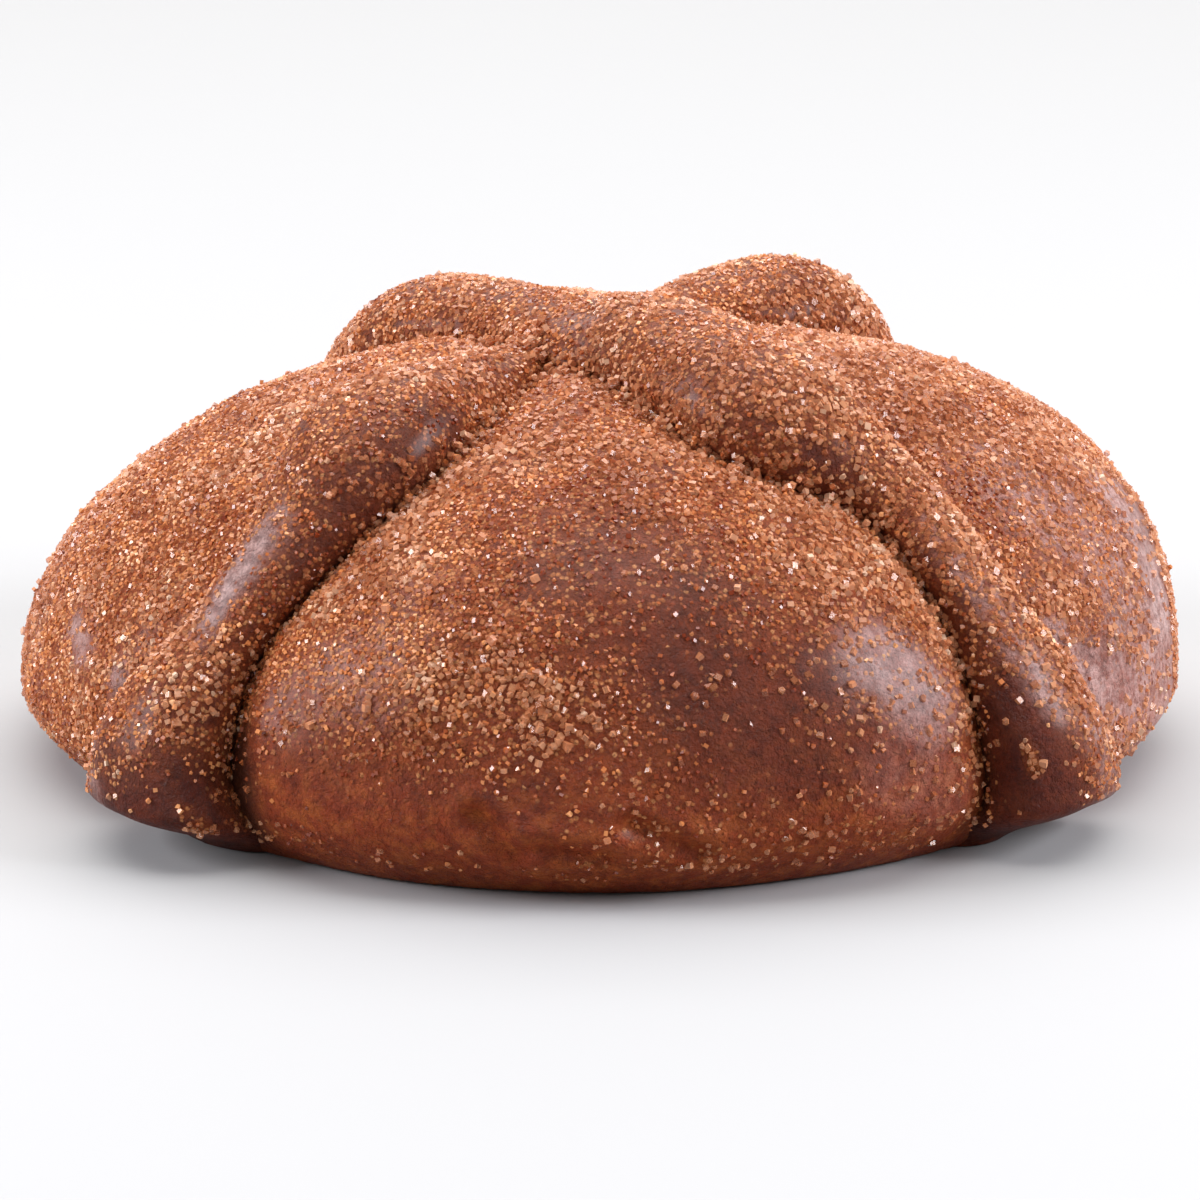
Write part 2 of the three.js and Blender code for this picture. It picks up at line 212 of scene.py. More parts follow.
# The same for painted sheen: pale lavender patches that stand in for reflections of the lights in
# the glazed crust.
PAINTED_SHEEN_ON_LOAF = (
    (75, 300, 80, 305, 4.6, 0.65), (77, 325, 77.6, 326.5, 2.4, 0.8), (81, 328, 88, 336, 5, 0.8),
    (66, 350, 90, 344, 8, 0.95), (62, 334, 76, 342, 8, 0.85), (80, 338, 88, 344, 6, 0.9),
    (86, 299, 89, 306, 4, 0.15), (80, 199.5, 82, 204, 2.6, 0.7),
    (82.5, 211.5, 85.5, 213.5, 2.4, 0.7), (78, 185, 88, 192, 5, 0.35),
    (67, 249, 76, 246, 4.6, 0.5), (80, 20, 86, 8, 5, 0.45), (76, 96, 82, 84, 4.5, 0.4),
    (79, 160, 84, 170, 4, 0.4),
)
PAINTED_SHEEN_ON_BONES = (
    (62, 227.5, 74, 225, 2.2, 0.8), (15, 215, 18.5, 224, 2.2, 0.6),
    (14.5, 250, 16, 258, 2.6, 0.55), (36, 281, 39.5, 286, 2.6, 0.6), (62, 313, 82, 317, 2.2, 0.75),
    (84, 320.5, 91, 324, 3, 0.7), (88, 216.5, 91, 219, 2.4, 0.6), (60, 130, 75, 130, 2.2, 0.6),
    (58, 48, 76, 48, 2.2, 0.6),
)

# ---- where the sugar lies, in millimetres ----

# Degrees round, and the height there at which half of the loaf's sugar is gone.
SUGAR_EDGE = (
    (0, 1), (30, 4), (60, 8), (90, 16), (120, 9), (150, 3), (180, -2), (215, -1), (228, 11),
    (236, 11), (250, 13), (268, 18), (290, 19), (303, 17), (316, 9), (330, 3), (345, 1), (360, 1),
)
EDGE_FADE = 13.0
EDGE_RAGGED = 6.0
MOST_ON_LOAF = 0.88  # chance of sugar where it lies thickest
LEAST_ON_LOAF = 0.2
MOST_ON_BONES = 0.72
MOST_IN_CREASES = 0.85
LOW_FLANKS_BARER = 0.3
TRIES_ON_LOAF = 280000
TRIES_ON_BONE = 80000
OFF_BONES = 0.2  # how far the loaf's crystals stay off the bones
OFF_LOAF = 0.1  # and the bones' crystals off the loaf
BARE_BELOW = 1.0  # no crystal reaches the surface the bread stands on
COARSE_FROM = 0.44  # width of a crystal from which it counts as coarse
CUBES = 0.6  # share of the crystals that are cubes
CUT_CORNERS = 0.5  # how much is cut off the other crystals' corners
STRETCH = (0.78, 1.15)
EMBEDDED = (-0.34, 0.04)  # how far a crystal's middle is above the crust, in its own widths
COAT_TINT = (0.455, 0.16)  # middle and spread
HEAP_TINT = (0.52, 0.18)
TONE_BLOTS = 0.45  # how much the tint varies from place to place
SUGAR_SHADE_TONE = 0.45  # how much darker the painted shade makes the sugar
HEAP_REACH = 1.6  # how far from a bone's side the sugar heaps up
HEAP_HEIGHTS = (24.0, 34.0)  # below the first no heap lies in a crease, above the second it is full
HEAPED_LOWER = 9.0  # how much further down the sugar heaps up beside the right front arm
HEAP_LAYERS = 3
HEAP_CHANCES = (0.03, 0.65, 0.6)  # anywhere, in a crease, and in a crease on an upper layer
HEAP_STEP = 0.8  # height of a layer, in spacings of the crystals
HEAP_SCATTER = 0.35

# ---- width of the painted shade in the creases, in millimetres ----

LOAF_CREASE = 1.5
LEFT_FOOT_CREASE = 2.4  # wider beside the left front foot
BONE_CREASE = 1.2
FOOT_HEIGHTS = (8.0, 24.0)  # between these the widening of a foot's crease fades out
RIGHT_CREASE_SHADE_CUT = 0.65  # how much less painted shade the crease beside the right front arm gets
RIGHT_CREASE_SHADE_CUT_FROM = 25.0


def smoothstep(value, low, high):
    """0 below low, 1 above high, and a soft step between them."""
    share = np.clip((value - low) / (high - low), 0, 1)
    return share * share * (3 - 2 * share)


def bell(distance, width, power=2):
    """1 at no distance, falling softly to 0 beyond the width."""
    return np.exp(-((distance / width) ** power))


def towards(down, round_):
    """Unit directions, from degrees down from the top and degrees round from +X."""
    down, round_ = np.radians(down), np.radians(round_)
    flat = np.sin(down)
    return np.stack([flat * np.cos(round_), flat * np.sin(round_), np.cos(down) + 0 * round_], -1)


def unit(vectors):
    """The same vectors with a length of 1."""
    return vectors / np.maximum(np.linalg.norm(vectors, axis=-1, keepdims=True), 1e-12)


BELLY = np.array([0, 0, BELLY_HEIGHT])


# ---- dome and bones ----


def dome_radius(direction):
    """Distance from the middle of the belly to the smooth dome."""
    x, y, z = np.moveaxis(direction, -1, 0)
    along = np.maximum(np.hypot(x, y), 1e-9)
    side_share = (x / along) ** 2
    between = 4 * side_share * (1 - side_share)

    def blend(which, drawn_in):
        side = np.where(x > 0, LOBES["right"][which], LOBES["left"][which])
        end = np.where(y > 0, LOBES["back"][which], LOBES["front"][which])
        return side_share * side + (1 - side_share) * end - drawn_in * between

    wide = np.hypot(x, y) / blend(0, WAIST)
    fullness = np.where(z >= 0, blend(1, PINCH), UNDER_FULLNESS)
    tall = np.where(z >= 0, DOME_TOP - BELLY_HEIGHT, UNDER_DEPTH)
    return (wide**fullness + (np.abs(z) / tall) ** fullness) ** (-1 / fullness)


def dome_point(down, round_):
    """The point of the smooth dome at degrees down and degrees round."""
    direction = towards(down, round_)
    return BELLY + direction * dome_radius(direction)


def along_curve(points, share):
    """Points at shares of a smooth open curve through the given points."""
    points = np.asarray(points, float)
    last = len(points) - 1
    padded = np.vstack([2 * points[0] - points[1], points, 2 * points[-1] - points[-2]])
    place = np.clip(share, 0, 1) * last
    start = np.minimum(place.astype(int), last - 1)
    w = (place - start)[:, None]
    before, first, second, after = (padded[start + k] for k in range(4))
    leave = (second - before) / 2
    arrive = (after - first) / 2
    cubic = 2 * first - 2 * second + leave + arrive
    square = -3 * first + 3 * second - 2 * leave - arrive
    return ((cubic * w + square) * w + leave) * w + first


def near_line(points, place, end_place, lift=0):
    """Distance from each point to the line between two places, at a height above the dome."""
    start, end = (dome_point(*at) + towards(*at) * lift for at in (place, end_place))
    span = end - start
    share = np.clip((points - start) @ span / max(span @ span, 1e-9), 0, 1)
    return np.linalg.norm(points - start - share[:, None] * span, axis=1)


class Rope:
    """A bone: its middle line, its half-width along it and its surface."""

    def __init__(self, from_arm, to_arm, crossing):
        def arm(stations):
            down, round_, half, lift = np.array(stations, float).T
            direction = towards(down, round_)
            above = BONE_RISE * BONE_THICKNESS * half + lift
            radius = dome_radius(direction) - VALLEY_DEPTH + above
            return BELLY + direction * radius[:, None], half

        near_points, near_halves = arm(from_arm)
        far_points, far_halves = arm(to_arm)
        rise = BONE_RISE * BONE_THICKNESS * crossing["half"] + crossing["lift"]
        middle = [crossing["x"], crossing["y"], DOME_TOP - VALLEY_DEPTH + rise]
        self.points = np.vstack([near_points[::-1], middle, far_points])
        self.halves = np.concatenate([near_halves[::-1], [crossing["half"]], far_halves])[:, None]
        steps = np.linspace(0, 1, LINE_STEPS + 1)
        self.samples = self.line(steps)
        self.sample_halves = self.half(steps)

    def line(self, share):
        return along_curve(self.points, share)

    def half(self, share):
        return along_curve(self.halves, share)[:, 0]

    def nearest(self, points):
        """Distance from each point to the middle line, and the half-width there."""
        distance = np.empty(len(points))
        half = np.empty(len(points))
        for start in range(0, len(points), 8192):
            part = slice(start, start + 8192)
            apart = np.linalg.norm(points[part, None] - self.samples, axis=2)
            which = apart.argmin(1)
            distance[part] = apart[np.arange(len(which)), which]
            half[part] = self.sample_halves[which]
        return distance, half

    def surface(self, share, around):
        """Points at shares of the length and angles around, where a quarter turn is the top."""
        step = 1e-4
        middle = self.line(share)
        low, high = np.clip(share - step, 0, 1), np.clip(share + step, 0, 1)
        tangent = unit(self.line(high) - self.line(low))
        sideways = unit(np.cross(tangent, unit(middle - BELLY)))
        outwards = unit(np.cross(sideways, tangent))
        past = np.maximum(np.abs(2 * share - 1) - (1 - 2 * TIP_CAP), 0) / (2 * TIP_CAP)
        size = self.half(share) * np.maximum(1 - past**TIP_BLUNT, 0) ** (1 / TIP_BLUNT)
        spread = 1 + FOOT_SPREAD * smoothstep(np.abs(2 * share - 1), *FOOT_FROM)

        def rounded(v):
            return np.sign(v) * np.abs(v) ** (2 / BONE_ROUND)

        across = rounded(np.cos(around)) * size * spread
        up = rounded(np.sin(around)) * size * BONE_THICKNESS
        return middle + sideways * across[:, None] + outwards * up[:, None]


ROPES = {
    "bone_lower": Rope(ARMS["front_left"], ARMS["back_right"], LOWER_CROSSING),
    "bone_upper": Rope(ARMS["back_left"], ARMS["front_right"], UPPER_CROSSING),
}


def pull_corner(points):
    """Draws the dough near the one pinched foot corner outwards."""
    direction = towards(FOOT_CORNER["down"], FOOT_CORNER["round"])
    corner = BELLY + direction * dome_radius(direction)
    near = bell(np.linalg.norm(points - corner, axis=1), FOOT_CORNER["spread"])
    points = points + near[:, None] * direction * FOOT_CORNER["reach"]
    direction = towards(PINCHED["down"], PINCHED["round"])
    tip = BELLY + direction * (dome_radius(direction) + PINCHED["proud"])
    near = bell(np.linalg.norm(points - tip, axis=1), PINCHED["spread"])
    return points + near[:, None] * PINCHED["share"] * (tip - points)


def press_down(points):
    """Sets the feet down on the tray, flat underneath and drawn in like the loaf."""
    sunk = PRESSED * (1 - smoothstep(points[:, 2], 0, PRESSED_BELOW))
    height = np.maximum(points[:, 2] - sunk, BONE_OFF_TRAY)
    drawn_in = TUCKED * (1 - smoothstep(height, 0, TUCKED_BELOW))
    flat = points[:, :2] - unit(points[:, :2]) * drawn_in[:, None]
    return np.column_stack([flat, height])


def valley_at(points):
    """How deep the bones press the loaf in at points of the smooth dome."""
    wide = np.zeros(len(points))
    bed = np.zeros(len(points))
    for rope in ROPES.values():
        distance, half = rope.nearest(points)
        wide = np.maximum(wide, bell(distance, VALLEY_SPREAD))
        bed = np.maximum(bed, bell(distance, half + BED_MARGIN, 4))
    return smoothstep(points[:, 2], 0, RIM_HEIGHT) * (VALLEY_DEPTH * wide + BED_DEPTH * bed)


def loaf_radius(direction):
    """Distance from the middle of the belly to the loaf's crust."""
    radius = dome_radius(direction)
    p = BELLY + direction * radius[:, None]
    waves = sum(share * np.sin(p @ np.array(wave) + phase) for wave, phase, share in LUMP_WAVES)
    radius = radius + LUMP * waves - valley_at(p)
    floor = BELLY_HEIGHT / np.maximum(-direction[:, 2], 1e-6)
    close = np.maximum(BASE_EDGE - np.abs(radius - floor), 0) / BASE_EDGE
    cut = np.minimum(radius, floor) - close * close * BASE_EDGE / 4
    return np.where(direction[:, 2] < 0, cut, radius)


def above_loaf(points):
    """How far each point lies outside the loaf's crust."""
    middle_out = points - BELLY
    return np.maximum(np.linalg.norm(middle_out, axis=1) - loaf_radius(unit(middle_out)), 0)


def skin_relief(points):
    """Fine swells of the skin, in millimetres."""
    relief = np.zeros(len(points))
    for length, height in SKIN_WAVES:
        relief += height * np.array([noise.noise(Vector(p) / length) for p in points])
    return relief


def fold_relief(points):
    """Tucks of dough, as a depth in millimetres."""
    relief = np.zeros(len(points))
    for down, round_, end_down, end_round, half, depth in FOLDS:
        distance = near_line(points, (down, round_), (end_down, end_round))
        lip = bell(distance - FOLD_LIP[0] * half, half)
        relief += depth * (bell(distance, half) - FOLD_LIP[1] * lip)
    return relief


# ---- mesh helpers ----


def positions(bm):
    return np.array([v.co for v in bm.verts])


def set_positions(bm, points):
    for vert, point in zip(bm.verts, points):
        vert.co = point


def finish_piece(name, bm, material, smooth=True):
    """A mesh in millimetres becomes a piece in metres, which rides on the body and has its slot."""
    bmesh.ops.scale(bm, vec=(MM, MM, MM), verts=bm.verts)
    mesh = bpy.data.meshes.new(name)
    bm.to_mesh(mesh)
    bm.free()
    return place_piece(name, mesh, material, smooth)


def place_piece(name, mesh, material, smooth):
    mesh.materials.append(material)
    mesh.polygons.foreach_set("use_smooth", [smooth] * len(mesh.polygons))
    piece = bpy.data.objects.new(name, mesh)
    bpy.context.scene.collection.objects.link(piece)
    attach(piece, "root")
    return piece


# ---- materials ----


class Wire:
    """A value in a material: Python's operators on it add the Math nodes."""

    def __init__(self, finish, socket):
        self.finish = finish
        self.socket = socket

    def _math(self, operation, *values):
        return self.finish.add("Math", {"operation": operation}, dict(enumerate(values)))

    def __add__(self, other):
        return self._math("ADD", self, other)

    __radd__ = __add__

    def __sub__(self, other):
        return self._math("SUBTRACT", self, other)

    def __rsub__(self, other):
        return self._math("SUBTRACT", other, self)

    def __mul__(self, other):
        return self._math("MULTIPLY", self, other)

    __rmul__ = __mul__

    def between(self, low, high):
        """0 below low, 1 above high, soft between."""
        settings = {"interpolation_type": "SMOOTHSTEP", "clamp": True}
        return self.finish.add("MapRange", settings, {"Value": self, 1: low, 2: high})

    def also(self, output):
        """Another value that the same node gives."""
        return Wire(self.finish, self.socket.node.outputs[output])


class Finish:
    """One material and its nodes."""

    def __init__(self, name):
        self.material = bpy.data.materials.new(name)
        self.material.use_nodes = True
        self.nodes = self.material.node_tree.nodes
        self.links = self.material.node_tree.links
        self.nodes.clear()
        self.place = self.add("TexCoord", output="Object")

    def add(self, kind, settings=None, inputs=None, output=0):
        """Any node: its kind, settings, the values or links of its sockets, and what it gives."""
        node = self.nodes.new("ShaderNode" + kind)
        for key, value in (settings or {}).items():
            if key == "stops":
                self._set_stops(node.color_ramp, value)
            else:
                setattr(node, key, value)
        for key, value in (inputs or {}).items():
            if isinstance(value, Wire):
                self.links.new(value.socket, node.inputs[key])
            else:
                node.inputs[key].default_value = value
        return Wire(self, node.outputs[output]) if len(node.outputs) else node

    @staticmethod
    def _set_stops(ramp, stops):
        while len(ramp.elements) < len(stops):
            ramp.elements.new(0.5)
        for element, (position, colour) in zip(ramp.elements, stops):
            element.position = position
            element.color = (*colour, 1)

    def attribute(self, name):
        """A number that the piece keeps for each of its points."""
        return self.add("Attribute", {"attribute_name": name}, output="Fac")

    def noise(self, size, detail=2.0, roughness=0.5, distortion=0.0):
        """Soft random values from 0 to 1, in blots of about a size in metres."""
        values = {
            "Vector": self.place, "Scale": 1 / size, "Detail": detail, "Roughness": roughness,
            "Distortion": distortion,
        }
        return self.add("TexNoise", {"noise_dimensions": "3D"}, values)

    def mix(self, share, first, second):
        """One colour passing into another."""
        return self.add(
            "Mix", {"data_type": "RGBA"}, {0: share, 6: rgba(first), 7: rgba(second)}, 2
        )

    def bump(self, height, distance, strength=1.0, normal=None):
        inputs = {"Height": height, "Distance": distance, "Strength": strength}
        if normal:
            inputs["Normal"] = normal
        return self.add("Bump", {}, inputs)

    def surface(self, **sockets):
        """The shader and the output, from the values or links of the shader's sockets."""
        named = {k.replace("_", " ").title().replace("Ior", "IOR"): v for k, v in sockets.items()}
        shader = self.add("BsdfPrincipled", {}, named)
        self.add("OutputMaterial", {}, {"Surface": shader})
        return self.material


def rgba(colour):
    """A colour with its alpha, or the wire that brings one."""
    return colour if isinstance(colour, Wire) else (*colour[:3], 1)


def crust_finish(name, look, dark, light, paler_below):
    """Glazed crust: mottled brown, with fine wrinkles, a shiny coat, the finest sugar, painted
    crease shade and painted sheen.
    """
    f = Finish(name)
    height = f.add("SeparateXYZ", {}, {"Vector": f.place}, "Z")
    paler = 1 - height.between(*paler_below)
    blots = f.noise(BLOTS, 3).between(0.35, 0.65)
    mottle = f.noise(MOTTLE, 5, 0.7).between(0.35, 0.65)
    colour = f.mix(blots * 0.3 + mottle * 0.52 + paler * 0.45, dark, light)
    caramel = f.noise(CARAMEL, 5, 0.7).between(0.40, 0.76)
    colour = f.mix(caramel * (0.14 + paler * 0.72), colour, look.amber)
    # Painted sheen: pale patches that stand in for reflections of the lights in the glaze.
    specks = f.noise(PAINTED_SHEEN_SPECKS, 5, 0.7).between(0.34, 0.64)
    smears = f.noise(PAINTED_SHEEN_SMEARS, 3, 0.6).between(0.38, 0.62)
    patchy = 0.18 + specks * 0.46 + smears * 0.18 + specks * smears * 0.18
    colour = f.mix(f.attribute("bloom") * patchy, colour, look.bloom)
    # Painted shade: near-black brown in the creases beside the bones and on the shaded patches.
    colour = f.mix(f.attribute("darkened") * 0.85, colour, CREASE_SHADE_COLOUR)

    sugared = f.attribute("sugared")
    # Crust between the crystals turns orange-red: partly syrup of sugar and glaze, partly painted
    # glow of light through the crystals.
    colour = f.mix(sugared * 0.62, colour, look.syrup_and_glow)
    sockets = {"Vector": f.place, "Scale": 1 / FINE_SUGAR, "Randomness": 1.0}
    grain = f.add("TexVoronoi", {"feature": "F1"}, sockets, "Color")
    away = grain.also("Distance")
    draw = f.add("SeparateColor", {}, {"Color": grain}, "Red")
    there = (sugared * 1.25 - draw).between(0.0, 0.12)
    shade = draw.also("Green") * 0.75
    grains = f.add("ValToRGB", {"stops": CLOUDY_SHADES}, {"Fac": shade}, "Color")
    colour = f.mix(there * (1 - away.between(0.35, 0.75)) * 0.8, colour, grains)

    normal = None
    for size, detail, roughness, distortion, depth, strength in SKIN_BUMPS:
        normal = f.bump(f.noise(size, detail, roughness, distortion), depth, strength, normal)
    normal = f.bump(there * (1 - away), *GRAIN_BUMP, normal)
    glaze = f.attribute("glaze") * (1 - sugared * 0.8)
    roughness = 0.48 - glaze * 0.24 + f.noise(SHEEN, 3, 0.6) * 0.16 + there * 0.12
    return f.surface(
        base_color=colour, roughness=roughness, normal=normal, coat_weight=glaze * look.gloss,
        coat_roughness=0.3, specular_ior_level=0.16,
    )


def tinted(f, shades):
    """The colour of each crystal, from its own tint."""
    return f.add("ValToRGB", {"stops": shades}, {"Fac": f.attribute("tint")}, "Color")


def cloudy_sugar(name):
    """Fine sugar that lies in the glaze and has taken its colour."""
    f = Finish(name)
    return f.surface(base_color=tinted(f, CLOUDY_SHADES), roughness=0.2, specular_ior_level=0.6)


def clear_sugar(name):
    """Coarse sugar: the crust shows through the faces turned to the eye, and the rims are pale."""
    f = Finish(name)
    rim = f.add("LayerWeight", {}, {"Blend": 0.5}, "Facing")
    return f.surface(
        base_color=tinted(f, CLEAR_SHADES), roughness=0.12, specular_ior_level=0.6,
        alpha=0.45 + rim * 0.45,
    )


def sugar_kinds(where):
    """The kinds of crystal: word, whether they are coarse, share of those, shape and finish."""
    cube, cut = crystal_shapes()
    fine = cloudy_sugar("cloudy_sugar_on_" + where)
    coarse = clear_sugar("clear_sugar_on_" + where)
    return [
        (f"{size}_{word}", size == "coarse", share, shape, material)
        for size, material in (("fine", fine), ("coarse", coarse))
        for word, share, shape in (("cubes", (0, CUBES), cube), ("cut", (CUBES, 1), cut))
    ]


# ---- sizes and colours ----


def colour_prop(name, description, default):
    return FloatVectorProperty(
        name=name, description=description, default=default, subtype="COLOR", size=3, min=0, max=1
    )


def width_prop(name, description, default):
    return FloatProperty(
        name=name, description=description, default=default, min=0.1 * MM, max=2 * MM,
        unit="LENGTH", precision=5,
    )


class CrustLook(bpy.types.PropertyGroup):
    """Colours and gloss of the baked crust."""

    loaf_dark: colour_prop("Loaf, dark", "Darkest brown of the loaf", (0.085, 0.009, 0.002))
    loaf_light: colour_prop("Loaf, light", "Lightest brown of the loaf", (0.28, 0.040, 0.009))
    bone_dark: colour_prop("Bones, dark", "Darkest brown of the bones", (0.062, 0.0085, 0.005))
    bone_light: colour_prop("Bones, light", "Lightest brown of the bones", (0.17, 0.026, 0.009))
    # Partly the colour of syrup under the sugar, partly painted glow of light through the crystals.
    syrup_and_glow: colour_prop("Syrup", "Crust that glows between the crystals", (0.40, 0.088, 0.018))
    # Colour of the painted sheen, which stands in for reflections of the lights in the glaze.
    bloom: colour_prop("Bloom", "Pale bloom that dried glaze leaves", (0.75, 0.485, 0.45))
    amber: colour_prop("Amber", "Caramel that shows through the glaze", (0.48, 0.115, 0.022))
    gloss: FloatProperty(
        name="Glaze", description="How strong the shiny coat is", default=0.3, min=0, max=1,
        subtype="FACTOR",
    )


class SugarLook(bpy.types.PropertyGroup):
    """Sizes and number of the sugar crystals."""

    smallest: width_prop("Smallest", "Width of the smallest crystal", 0.30 * MM)
    largest: width_prop("Largest", "Width of the largest crystal", 0.66 * MM)
    spacing: width_prop("Spacing", "Least distance between crystals on the crust", 0.38 * MM)
    seed: IntProperty(name="Seed", description="Start of the random draws", default=1102, min=0)


class StageLook(bpy.types.PropertyGroup):
    """Floor and camera."""

    elevation: FloatProperty(
        name="Elevation", description="Angle of the camera over the horizon",
        default=math.radians(16), subtype="ANGLE",
    )
    distance: FloatProperty(
        name="Distance", description="From the camera to the middle of the loaf", default=0.5,
        unit="LENGTH",
    )
    aim_height: FloatProperty(
        name="Aim height", description="Height that the camera looks at", default=14.5 * MM,
        unit="LENGTH", precision=5,
    )
    lens: FloatProperty(name="Lens", description="Focal length in millimetres", default=143.4)
    floor: colour_prop("Floor", "Colour of the floor", (0.478, 0.478, 0.479))


# ---- crust pieces ----


def add_values(mesh, name, values):
    """Keeps one number for each point of the mesh, which the finish reads."""
    mesh.attributes.new(name, "FLOAT", "POINT").data.foreach_set("value", values)


def each_point(mesh, what):
    """The place ("co") or the direction out of the surface ("normal") of each point."""
    values = np.empty(len(mesh.vertices) * 3)
    mesh.vertices.foreach_get(what, values)
    return values.reshape(-1, 3)


def keep_patterns(piece, points, darkened, density, bloom, lift=0):
    """Keeps what the crust's finish varies by: painted shade, sugar, glaze and painted sheen."""
    normals = each_point(piece.data, "normal")
    add_values(piece.data, "darkened", darkened)
    add_values(piece.data, "sugared", density(points, normals))
    # The glaze is brushed on from above, so the low sides get little.
    add_values(piece.data, "glaze", 0.12 + 0.88 * smoothstep(normals[:, 2], -0.05, 0.4))
    add_values(piece.data, "bloom", in_patches(points, bloom, lift))


class BREAD_OT_loaf_crust(bpy.types.Operator):
    """Make the loaf's crust: four lobes between the bones, on a flat base"""

    bl_idname = "bread.loaf_crust"
    bl_label = "Loaf crust"

    def execute(self, context):
        look = context.scene.bread_crust
        bm = bmesh.new()
        bmesh.ops.create_icosphere(bm, subdivisions=LOAF_SPLITS, radius=1)
        bmesh.ops.subdivide_edges(bm, edges=bm.edges, cuts=2, use_grid_fill=True)
        direction = self.crowd_upwards(unit(positions(bm)))
        points = BELLY + direction * loaf_radius(direction)[:, None]
        above_base = smoothstep(points[:, 2], 0, BASE_EDGE)
        lift = above_base * (skin_relief(points) - fold_relief(points))
        points = points + direction * lift[:, None]
        points[:, 2] = np.maximum(points[:, 2], 0)
        set_positions(bm, points)
        finish = crust_finish(
            "glazed_loaf_crust", look, look.loaf_dark, look.loaf_light, PALER_BELOW["loaf"]
        )
        piece = finish_piece("loaf_crust", bm, finish)
        keep_patterns(piece, points, self.darkened(points), loaf_density, PAINTED_SHEEN_ON_LOAF)
        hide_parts("loaf")
        return {"FINISHED"}

    @staticmethod
    def darkened(points):
        """Painted shade: 1 in the creases beside the bones, less on the patches of painted shade,
        and 0 elsewhere.
        """
        front = points[:, 1] < 0
        low = 1 - smoothstep(points[:, 2], *FOOT_HEIGHTS)
        wider = (LEFT_FOOT_CREASE - LOAF_CREASE) * low * (front & (points[:, 0] < 0))
        crease = np.zeros(len(points))
        for rope in ROPES.values():
            distance, half = rope.nearest(points)
            beside = np.maximum(distance - half * (1 + FOOT_SPREAD * low), 0)
            crease = np.maximum(crease, bell(beside, LOAF_CREASE + wider))
        # Less painted shade in the crease beside the right front arm.
        less_shade = RIGHT_CREASE_SHADE_CUT * smoothstep(points[:, 0], 0, RIGHT_CREASE_SHADE_CUT_FROM) * front
        crease *= smoothstep(points[:, 2], 0, 4) * (1 - less_shade)
        return np.maximum(crease, in_patches(points, PAINTED_SHADE_ON_LOAF))

    @staticmethod
    def crowd_upwards(direction):
        """Gives the flat base few of the sphere's points, and the dome the rest."""
        now = np.arccos(np.clip(direction[:, 2], -1, 1))
        rim_now = math.acos(-1 + 2 * BASE_SHARE)
        rim = math.radians(BASE_DOWN)
        below = rim + (now - rim_now) / (math.pi - rim_now) * (math.pi - rim)
        down = np.where(now < rim_now, now / rim_now * rim, below)
        flat = unit(direction[:, :2])
        return np.column_stack([flat * np.sin(down)[:, None], np.cos(down)])


class BREAD_OT_bone_crusts(bpy.types.Operator):
    """Make the crust of the two crossed bones"""

    bl_idname = "bread.bone_crusts"
    bl_label = "Bone crusts"

    def execute(self, context):
        look = context.scene.bread_crust
        finish = crust_finish(
            "glazed_bone_crust", look, look.bone_dark, look.bone_light, PALER_BELOW["bones"]
        )
        for name, rope in ROPES.items():
            bm = bmesh.new()
            bmesh.ops.create_uvsphere(bm, u_segments=BONE_SIDES, v_segments=BONE_RINGS, radius=1)
            ball = positions(bm)
            share = np.arccos(np.clip(ball[:, 2], -1, 1)) / math.pi
            share = share - RINGS_TO_TIPS * np.sin(2 * math.pi * share)
            around = np.arctan2(ball[:, 1], ball[:, 0])
            points = rope.surface(share, around)
            outwards = unit(points - rope.line(share))
            points = points + outwards * BONE_SWELLS * skin_relief(points)[:, None]
            points = pull_corner(press_down(points))
            points[:, 2] = np.maximum(points[:, 2], BONE_OFF_TRAY)
            set_positions(bm, points)
            bmesh.ops.recalc_face_normals(bm, faces=bm.faces)
            piece = finish_piece(name + "_crust", bm, finish)
            keep_patterns(
                piece, points, self.darkened(points), bone_density, PAINTED_SHEEN_ON_BONES, PATCH_LIFT
            )
            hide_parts(name)
        return {"FINISHED"}

    @staticmethod
    def darkened(points):
        """Painted shade: 1 where the bone meets the loaf, less on the patch of painted shade, and 0
        elsewhere.
        """
        crease = bell(above_loaf(points), BONE_CREASE) * smoothstep(points[:, 2], 0.5, 5)
        return np.maximum(crease, in_patches(points, PAINTED_SHADE_ON_BONES, PATCH_LIFT))


# ---- sugar ----


def crystal_shapes():
    """The kinds of crystal, each a closed shape about 1 across: (corners, triangles)."""
    shapes = []
    for cut in (None, CUT_CORNERS):
        bm = bmesh.new()
        bmesh.ops.create_cube(bm, size=1)
        if cut:
            bmesh.ops.bevel(
                bm, geom=bm.verts, offset=cut, offset_type="OFFSET", segments=1, profile=0.5,
                affect="VERTICES", material=-1,
            )
            bmesh.ops.remove_doubles(bm, verts=bm.verts, dist=0.01)
        bmesh.ops.recalc_face_normals(bm, faces=bm.faces)
        bm.verts.index_update()
        shapes.append((positions(bm), fans([[v.index for v in face.verts] for face in bm.faces])))
        bm.free()
    return shapes


def fans(rims):
    """Triangles of faces with these corners, in an order that is the same in each run."""
    triangles = []
    for rim in rims:
        start = rim.index(min(rim))
        rim = rim[start:] + rim[:start]
        triangles += [(rim[0], rim[k], rim[k + 1]) for k in range(1, len(rim) - 1)]
    return np.array(sorted(triangles))


